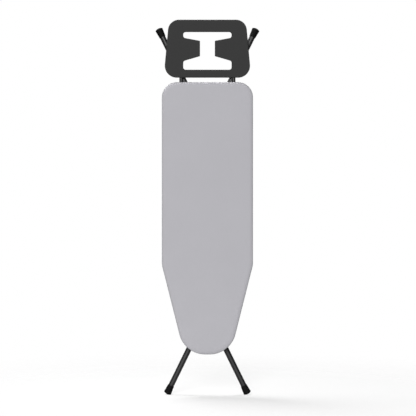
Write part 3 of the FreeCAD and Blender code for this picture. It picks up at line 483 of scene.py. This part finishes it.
def mesh_cell(x, z, y, vertices, faces, corner_at):
    """One diamond of expanded metal: four strands round a hole."""
    half_x, half_z = MESH_LONG / 2, MESH_SHORT / 2
    outer = [(x + half_x, z), (x, z + half_z), (x - half_x, z), (x, z - half_z)]
    hole_x, hole_z = half_x - STRAND_ACROSS, half_z - STRAND_ALONG
    inner = [(x + hole_x, z), (x, z + hole_z), (x - hole_x, z), (x, z - hole_z)]
    ring = []
    for px, pz in outer:
        key = (round(px / SAME_CORNER), round(pz / SAME_CORNER))
        if key not in corner_at:
            corner_at[key] = len(vertices)
            vertices.append(Vector((px, y, pz)))
        ring.append(corner_at[key])
    hole = []
    for px, pz in inner:
        hole.append(len(vertices))
        vertices.append(Vector((px, y, pz)))
    for k in range(4):
        j = (k + 1) % 4
        faces.append((ring[k], ring[j], hole[j], hole[k]))


def make_mesh(material):
    """The expanded steel mesh under the pad, with the plain border that its edge is welded to."""
    low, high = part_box("mesh_top")
    y = (low.y + high.y) / 2
    coarse, coarse_normals = walk_outline(MESH_EDGE_STEP)
    vertices, faces, corner_at = [], [], {}
    rows = int((high.z - low.z) / (MESH_SHORT / 2))
    columns = int(high.x / MESH_LONG) + 1
    for row in range(rows):
        z = low.z + row * MESH_SHORT / 2
        shift = MESH_LONG / 2 if row % 2 else 0.0
        for column in range(-columns, columns + 1):
            x = column * MESH_LONG + shift
            if inside_outline(x, z, coarse, coarse_normals) > MESH_BORDER:
                mesh_cell(x, z, y, vertices, faces, corner_at)
    lattice = add_mesh("expanded_mesh", vertices, faces, "board", material, smooth=False)
    apply_modifier(lattice, "SOLIDIFY", thickness=(high.y - low.y) * STRAND_THICKNESS, offset=0.0)
    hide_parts("mesh_top")
    make_mesh_border(low.y, high.y, material)


def make_mesh_border(front, back, material):
    """The flat strip round the mesh."""
    points, normals = walk_outline(EDGE_STEP)
    section = [(BORDER_OUTER, front), (BORDER_INNER, front), (BORDER_INNER, back), (BORDER_OUTER, back)]
    vertices = []
    for inset, y in section:
        for point, normal in zip(points, normals):
            flat = point - normal * (inset * MM)
            vertices.append(Vector((flat.x, y, flat.y)))
    faces = rings_to_faces(len(section), len(points))
    last = (len(section) - 1) * len(points)
    count = len(points)
    faces += [(last + i, last + (i + 1) % count, (i + 1) % count, i) for i in range(count)]
    border = add_mesh("mesh_border", vertices, faces, "board", material, smooth=False)
    face_outwards(border)


# ---------------------------------------------------------------- small parts

def make_spring(material):
    """The torsion spring on the rack's pin: close turns and two straight legs."""
    low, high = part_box("rack_spring")
    middle = (low + high) / 2
    start = low.x + SPRING_WIRE
    width = high.x - low.x - 2 * SPRING_WIRE
    path = [Vector((start, middle.y - SPRING_RADIUS - SPRING_FOOT, middle.z + SPRING_RADIUS))]
    steps = round(SPRING_TURNS * SPRING_STEPS)
    for k in range(steps + 1):
        turn = 2 * math.pi * k / SPRING_STEPS
        path.append(Vector((
            start + width * k / steps,
            middle.y + SPRING_RADIUS * math.sin(turn),
            middle.z + SPRING_RADIUS * math.cos(turn),
        )))
    path.append(path[-1] + Vector((0, 0, -SPRING_HOOK)))
    vertices, faces = tube_mesh(path, SPRING_WIRE, sides=10)
    spring = add_mesh("torsion_spring", vertices, faces, "board", material)
    face_outwards(spring)
    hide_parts("rack_spring")


def grip_profile(radius):
    """The grip's section (radius, height) from its open end to its rounded end."""
    half = GRIP_LENGTH / 2
    profile = [(radius * share, height - half) for share, height in GRIP_MOUTH]
    for k in range(GRIP_STEPS + 1):
        share = k / GRIP_STEPS
        height = -half + GRIP_START + (GRIP_LENGTH - GRIP_START - GRIP_END) * share
        groove = GROOVE_DEPTH * (0.5 - 0.5 * math.cos(2 * math.pi * share * GRIP_GROOVES))
        waist = GRIP_WAIST * math.sin(math.pi * share)
        profile.append((radius * (1 - groove - waist), height))
    for k in range(1, GRIP_DOME_STEPS):
        turn = math.pi / 2 * k / GRIP_DOME_STEPS
        profile.append((radius * math.cos(turn), half - GRIP_DOME + GRIP_DOME * math.sin(turn)))
    return profile + [(0, half)]


def make_grip(material):
    """The lever's moulded grip, with finger grooves and a rounded end."""
    low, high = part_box("lever_grip")
    middle = (low + high) / 2
    vertices, faces = lathe(grip_profile((high.x - low.x) / 2))
    lean = Matrix.Rotation(GRIP_TILT, 3, "X")
    points = [middle + lean @ vertex for vertex in vertices]
    grip = add_mesh("grip", points, faces, "lever", material)
    face_outwards(grip)
    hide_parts("lever_grip")


def bead_radius(i):
    """A weld bead's radius at a point of its line."""
    return WELD_RADIUS + WELD_RIPPLE * math.sin(i * 2 * math.pi / RIPPLE_STEPS)


def make_welds(material):
    """Weld beads where each brace meets its two leg tubes."""
    for node, body, half, way in (
        ("inner_top_brace", "inner_leg", INNER_HALF, 1),
        ("inner_foot_brace", "inner_leg", INNER_HALF, 1),
        ("outer_brace", "outer_leg", OUTER_HALF, -1),
    ):
        low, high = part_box(node)
        vertices, faces = [], []
        for side in (-1, 1):
            line = weld_path((low + high) / 2, half, side, LEG_TILT * way)
            points, quads = tube_mesh(line, bead_radius, sides=8, closed=True)
            start = len(vertices)
            vertices += points
            faces += [tuple(start + v for v in quad) for quad in quads]
        beads = add_mesh(node + "_welds", vertices, faces, body, material)
        face_outwards(beads)


def weld_path(middle, half, side, tilt):
    """The saddle-shaped line where a brace meets a leg tube."""
    path = []
    for k in range(WELD_STEPS):
        turn = 2 * math.pi * k / WELD_STEPS
        across, along = BRACE_RADIUS * math.cos(turn), BRACE_RADIUS * math.sin(turn)
        x = half - math.sqrt(TUBE_RADIUS ** 2 - across ** 2)
        y = across * math.cos(tilt) - along * math.sin(tilt)
        z = across * math.sin(tilt) + along * math.cos(tilt)
        path.append(Vector((side * x, middle.y + y, middle.z + z)))
    return path


# ---------------------------------------------------------------- materials

def new_material(name, color, roughness, metallic=0.0):
    """A material and its Principled shader."""
    material = bpy.data.materials.new(name)
    material.use_nodes = True
    shader = material.node_tree.nodes["Principled BSDF"]
    shader.inputs["Base Color"].default_value = (*color, 1)
    shader.inputs["Roughness"].default_value = roughness
    shader.inputs["Metallic"].default_value = metallic
    return material, shader


def add_node(material, kind, inputs=None, **settings):
    """A node with these settings. An input is a value, or a socket to link from."""
    node = material.node_tree.nodes.new(kind)
    for key, value in settings.items():
        setattr(node, key, value)
    for key, value in (inputs or {}).items():
        if isinstance(value, bpy.types.NodeSocket):
            material.node_tree.links.new(value, node.inputs[key])
        else:
            node.inputs[key].default_value = value
    return node


def place_in_metres(material):
    """The object's own coordinates, which are metres in the CAD's frame."""
    return add_node(material, "ShaderNodeTexCoord").outputs["Object"]


def noise_at(material, scale, detail=2.0, stretch=None):
    """Noise over the surface, scale features to the metre, stretched by a factor along each axis."""
    where = place_in_metres(material)
    if stretch is not None:
        where = add_node(
            material, "ShaderNodeMapping", {"Vector": where, "Scale": stretch}).outputs["Vector"]
    found = add_node(material, "ShaderNodeTexNoise", {"Vector": where, "Scale": scale, "Detail": detail})
    return found.outputs["Fac"]


def vary_color(material, shader, factor, dark, light):
    """Runs the base colour between two colours by a factor."""
    mix = add_node(material, "ShaderNodeMix", {"Factor": factor}, data_type="RGBA")
    mix.inputs["A"].default_value = (*dark, 1)
    mix.inputs["B"].default_value = (*light, 1)
    material.node_tree.links.new(mix.outputs["Result"], shader.inputs["Base Color"])
    return mix


def vary_roughness(material, shader, factor, low, high):
    """Runs the roughness between two values by a factor."""
    spread = add_node(
        material, "ShaderNodeMapRange", {"Value": factor, "To Min": low, "To Max": high})
    material.node_tree.links.new(spread.outputs["Result"], shader.inputs["Roughness"])


def add_bump(material, shader, height, strength, distance):
    """Bumps the surface by a height, distance metres at a height of 1."""
    bump = add_node(
        material, "ShaderNodeBump", {"Height": height, "Strength": strength, "Distance": distance})
    material.node_tree.links.new(bump.outputs["Normal"], shader.inputs["Normal"])


def math_node(material, operation, first, second=0.0):
    return add_node(
        material, "ShaderNodeMath", {0: first, 1: second}, operation=operation).outputs["Value"]


def tinted(color, factor):
    """The colour made lighter or darker by a factor."""
    return tuple(channel * factor for channel in color)


def cotton_material():
    """Plain woven cotton: crossing threads, slight slubs and a soft sheen."""
    color = (0.392, 0.387, 0.412)
    material, shader = new_material("cotton_cover", color, roughness=0.86)
    shader.inputs["Sheen Weight"].default_value = 0.04
    shader.inputs["Sheen Roughness"].default_value = 0.5
    shader.inputs["Specular IOR Level"].default_value = 0.2
    where = place_in_metres(material)
    split = add_node(material, "ShaderNodeSeparateXYZ", {"Vector": where})
    threads_per_metre = 1350.0
    heights = []
    for axis, phase in (("X", 0.0), ("Y", 0.8), ("Z", 1.6)):
        wave = math_node(material, "MULTIPLY", split.outputs[axis], threads_per_metre * math.pi)
        wave = math_node(material, "SINE", math_node(material, "ADD", wave, phase))
        heights.append(math_node(material, "ABSOLUTE", wave))
    weave = math_node(material, "MAXIMUM", heights[0], heights[2])
    weave = math_node(material, "MAXIMUM", weave, math_node(material, "MULTIPLY", heights[1], 0.9))
    slubs = noise_at(material, scale=260.0, detail=3.0, stretch=(1.0, 1.0, 0.12))
    relief = math_node(material, "ADD", weave, math_node(material, "MULTIPLY", slubs, 0.6))
    add_bump(material, shader, relief, strength=0.22, distance=0.00025)
    patches = noise_at(material, scale=7.0, detail=4.0)
    blend = math_node(material, "ADD", math_node(material, "MULTIPLY", patches, 0.6),
                      math_node(material, "MULTIPLY", slubs, 0.4))
    vary_color(material, shader, blend, tinted(color, 0.95), tinted(color, 1.05))
    return material


def thread_material():
    """Sewing thread a shade lighter than the cover."""
    color = (0.53, 0.525, 0.55)
    material, shader = new_material("sewing_thread", color, roughness=0.7)
    twist = noise_at(material, scale=2400.0, detail=1.0, stretch=(1.0, 0.3, 1.0))
    vary_color(material, shader, twist, tinted(color, 0.85), tinted(color, 1.1))
    add_bump(material, shader, twist, strength=0.4, distance=0.0001)
    return material


def felt_material():
    """Needle felt: matted fibres of mixed shades."""
    color = (0.66, 0.65, 0.61)
    material, shader = new_material("needle_felt", color, roughness=0.95)
    shader.inputs["Sheen Weight"].default_value = 0.3
    fibres = noise_at(material, scale=900.0, detail=5.0, stretch=(1.0, 1.0, 0.25))
    tufts = noise_at(material, scale=180.0, detail=3.0)
    mix = math_node(material, "ADD", math_node(material, "MULTIPLY", fibres, 0.6),
                    math_node(material, "MULTIPLY", tufts, 0.4))
    vary_color(material, shader, mix, tinted(color, 0.72), tinted(color, 1.18))
    add_bump(material, shader, mix, strength=0.6, distance=0.0006)
    return material


def enamel_material(name, color, roughness, shine=0.32):
    """Powder coat: a fine orange peel over colour that is very slightly uneven."""
    material, shader = new_material(name, color, roughness)
    shader.inputs["Specular IOR Level"].default_value = shine
    peel = noise_at(material, scale=700.0, detail=2.0)
    drift = noise_at(material, scale=24.0, detail=3.0)
    vary_color(material, shader, drift, tinted(color, 0.92), tinted(color, 1.08))
    vary_roughness(material, shader, drift, roughness - 0.03, roughness + 0.05)
    add_bump(material, shader, peel, strength=0.10, distance=0.0003)
    return material


def plated_material():
    """Zinc plating: pale, faintly mottled and drawn along its length."""
    color = (0.60, 0.60, 0.585)
    material, shader = new_material("zinc_plating", color, roughness=0.33, metallic=1.0)
    mottle = noise_at(material, scale=140.0, detail=4.0)
    lines = noise_at(material, scale=900.0, detail=2.0, stretch=(0.08, 1.0, 1.0))
    vary_color(material, shader, mottle, tinted(color, 0.82), tinted(color, 1.1))
    vary_roughness(material, shader, lines, low=0.26, high=0.44)
    add_bump(material, shader, lines, strength=0.12, distance=0.0001)
    return material


def spring_material():
    """Oiled drawn wire."""
    color = (0.32, 0.32, 0.33)
    material, shader = new_material("spring_wire", color, roughness=0.28, metallic=1.0)
    stain = noise_at(material, scale=500.0, detail=3.0)
    vary_color(material, shader, stain, tinted(color, 0.7), tinted(color, 1.2))
    vary_roughness(material, shader, stain, low=0.2, high=0.4)
    return material


def moulded_material(name, color, roughness, grain, shine=0.22):
    """Moulded plastic or rubber with a fine sparked grain."""
    material, shader = new_material(name, color, roughness)
    shader.inputs["Specular IOR Level"].default_value = shine
    spark = noise_at(material, scale=grain, detail=3.0)
    drift = noise_at(material, scale=60.0, detail=2.0)
    vary_color(material, shader, drift, tinted(color, 0.85), tinted(color, 1.15))
    vary_roughness(material, shader, drift, roughness - 0.05, roughness + 0.05)
    add_bump(material, shader, spark, strength=0.2, distance=0.0003)
    return material


def make_finishes():
    """The material of every slot in the record."""
    plastic = (0.012, 0.012, 0.013)
    rubber = (0.003, 0.003, 0.003)
    leg_black = (0.007, 0.007, 0.0075)
    rest_grey = (0.024, 0.024, 0.024)
    return {
        "cover_cloth": cotton_material(),
        "felt_pad": felt_material(),
        "mesh_steel": enamel_material("mesh_powder_coat", (0.05, 0.05, 0.053), roughness=0.42),
        "board_steel": enamel_material("board_powder_coat", (0.045, 0.045, 0.048), roughness=0.42),
        "plated_steel": plated_material(),
        "spring_steel": spring_material(),
        "black_plastic": moulded_material("black_plastic", plastic, roughness=0.5, grain=1500.0),
        "rest_enamel": enamel_material("grey_powder_coat", rest_grey, roughness=0.8),
        "leg_enamel": enamel_material("black_powder_coat", leg_black, roughness=0.5, shine=0.5),
        "foot_rubber": moulded_material("foot_rubber", rubber, roughness=0.7, grain=900.0, shine=0.1),
        "grip_plastic": moulded_material("grip_plastic", plastic, roughness=0.55, grain=1100.0),
    }


def finish_nodes(finishes):
    """Gives every CAD node that shows the material of its slot."""
    slots = {part["node"]: part["material_slot"] for part in frame["record"]["subparts"]}
    for name, node in frame["nodes"].items():
        material = finishes[slots[name]]
        if not node.material_slots:
            node.data.materials.append(material)
        for place in node.material_slots:
            place.material = material


def smooth_nodes():
    """Shades round CAD faces smoothly and keeps their real edges sharp."""
    group = shade_group()
    for node in frame["nodes"].values():
        modifier = node.modifiers.new("Shade", "NODES")
        modifier.node_group = group


def shade_group():
    """A node group that shades a mesh smooth except at its sharp edges."""
    group = bpy.data.node_groups.new("shade_by_angle", "GeometryNodeTree")
    group.interface.new_socket("Geometry", in_out="INPUT", socket_type="NodeSocketGeometry")
    group.interface.new_socket("Geometry", in_out="OUTPUT", socket_type="NodeSocketGeometry")
    start, end = group.nodes.new("NodeGroupInput"), group.nodes.new("NodeGroupOutput")
    faces = group.nodes.new("GeometryNodeSetShadeSmooth")
    edges = group.nodes.new("GeometryNodeSetShadeSmooth")
    edges.domain = "EDGE"
    angle = group.nodes.new("GeometryNodeInputMeshEdgeAngle")
    small = group.nodes.new("FunctionNodeCompare")
    small.operation = "LESS_EQUAL"
    small.inputs["B"].default_value = SHARP_ANGLE
    group.links.new(start.outputs[0], faces.inputs["Geometry"])
    group.links.new(faces.outputs["Geometry"], edges.inputs["Geometry"])
    group.links.new(angle.outputs["Unsigned Angle"], small.inputs["A"])
    group.links.new(small.outputs["Result"], edges.inputs["Shade Smooth"])
    group.links.new(edges.outputs["Geometry"], end.inputs[0])
    return group


# ---------------------------------------------------------------- stage, light and camera

def make_floor():
    """A white floor that shows soft shadows near the object and melts into the background further off."""
    material = bpy.data.materials.new("studio_floor")
    material.use_nodes = True
    nodes, links = material.node_tree.nodes, material.node_tree.links
    paper = nodes["Principled BSDF"]
    paper.inputs["Base Color"].default_value = (FLOOR_WHITE, FLOOR_WHITE, FLOOR_WHITE, 1)
    paper.inputs["Roughness"].default_value = 1.0
    paper.inputs["Specular IOR Level"].default_value = 0.0
    paper.inputs["Emission Color"].default_value = (1, 1, 1, 1)
    seen = add_node(material, "ShaderNodeLightPath").outputs["Is Camera Ray"]
    glow = add_node(
        material, "ShaderNodeMapRange",
        {"Value": seen, "To Min": FLOOR_GLOW_UNSEEN, "To Max": FLOOR_GLOW})
    links.new(glow.outputs["Result"], paper.inputs["Emission Strength"])
    clear = add_node(material, "ShaderNodeBsdfTransparent")
    away = add_node(
        material, "ShaderNodeVectorMath", {0: place_in_metres(material)}, operation="LENGTH")
    fade = add_node(
        material, "ShaderNodeMapRange",
        {"Value": away.outputs["Value"], "From Min": FLOOR_FADE[0], "From Max": FLOOR_FADE[1]},
        interpolation_type="SMOOTHSTEP")
    mix = add_node(
        material, "ShaderNodeMixShader",
        {0: fade.outputs["Result"], 1: paper.outputs[0], 2: clear.outputs[0]})
    links.new(mix.outputs[0], nodes["Material Output"].inputs["Surface"])
    half = FLOOR_SIZE / 2
    data = bpy.data.meshes.new("floor")
    corners = [(-half, -half, 0), (half, -half, 0), (half, half, 0), (-half, half, 0)]
    data.from_pydata(corners, [], [(0, 1, 2, 3)])
    data.materials.append(material)
    floor = bpy.data.objects.new("floor", data)
    bpy.context.collection.objects.link(floor)


def make_world():
    """White to the camera, and a dimmer studio, brighter on the left, to everything else."""
    world = bpy.data.worlds.new("studio")
    bpy.context.scene.world = world
    world.use_nodes = True
    nodes, links = world.node_tree.nodes, world.node_tree.links
    seen = nodes["Background"]
    seen.inputs["Color"].default_value = (1, 1, 1, 1)
    seen.inputs["Strength"].default_value = 1.0
    lit = nodes.new("ShaderNodeBackground")
    where = nodes.new("ShaderNodeTexCoord")
    split = nodes.new("ShaderNodeSeparateXYZ")
    links.new(where.outputs["Generated"], split.inputs["Vector"])
    spread = nodes.new("ShaderNodeMapRange")
    spread.interpolation_type = "SMOOTHSTEP"
    limits = {
        "From Min": WORLD_EDGES[0], "From Max": WORLD_EDGES[1],
        "To Min": WORLD_LEFT, "To Max": WORLD_RIGHT,
    }
    for key, value in limits.items():
        spread.inputs[key].default_value = value
    links.new(split.outputs["X"], spread.inputs["Value"])
    links.new(spread.outputs["Result"], lit.inputs["Strength"])
    path = nodes.new("ShaderNodeLightPath")
    mix = nodes.new("ShaderNodeMixShader")
    links.new(path.outputs["Is Camera Ray"], mix.inputs[0])
    links.new(lit.outputs[0], mix.inputs[1])
    links.new(seen.outputs[0], mix.inputs[2])
    links.new(mix.outputs[0], nodes["World Output"].inputs["Surface"])


def add_area(name, place, target, width, height, power):
    """A soft rectangular light aimed at a point."""
    data = bpy.data.lights.new(name, "AREA")
    data.shape = "RECTANGLE"
    data.size, data.size_y = width, height
    data.energy = power
    light = bpy.data.objects.new(name, data)
    light.location = place
    light.rotation_euler = (Vector(target) - Vector(place)).to_track_quat("-Z", "Y").to_euler()
    bpy.context.collection.objects.link(light)


def make_lights():
    """A soft front light, a weaker one on the right, and one above the board that draws the shadow."""
    middle = (0, 0, 0.8)
    add_area("main", (-1.1, -8.0, 2.6), middle, width=1.5, height=3.6, power=700)
    add_area("fill", (3.6, -5.6, 2.2), middle, width=2.4, height=2.4, power=25)
    add_area("top", (-0.6, 0.45, 3.3), (0.1, 0, 0), width=0.9, height=0.9, power=90)


def make_camera():
    """Level with the middle of the view, straight in front of the ironing face."""
    data = bpy.data.cameras.new("camera")
    data.lens = LENS
    camera = bpy.data.objects.new("camera", data)
    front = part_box("cover")[0].y
    camera.location = (VIEW_SIDE, front - CAMERA_DISTANCE, VIEW_HEIGHT)
    camera.rotation_euler = (math.radians(90), 0, 0)
    bpy.context.collection.objects.link(camera)
    bpy.context.scene.camera = camera
    bpy.context.scene.view_settings.view_transform = "Standard"


def main():
    finishes = make_finishes()
    finish_nodes(finishes)
    smooth_nodes()
    make_cover(finishes["cover_cloth"], thread_material())
    make_pad(finishes["felt_pad"])
    make_mesh(finishes["mesh_steel"])
    make_spring(finishes["spring_steel"])
    make_grip(finishes["grip_plastic"])
    make_welds(finishes["leg_enamel"])
    make_floor()
    make_world()
    make_lights()
    make_camera()


main()
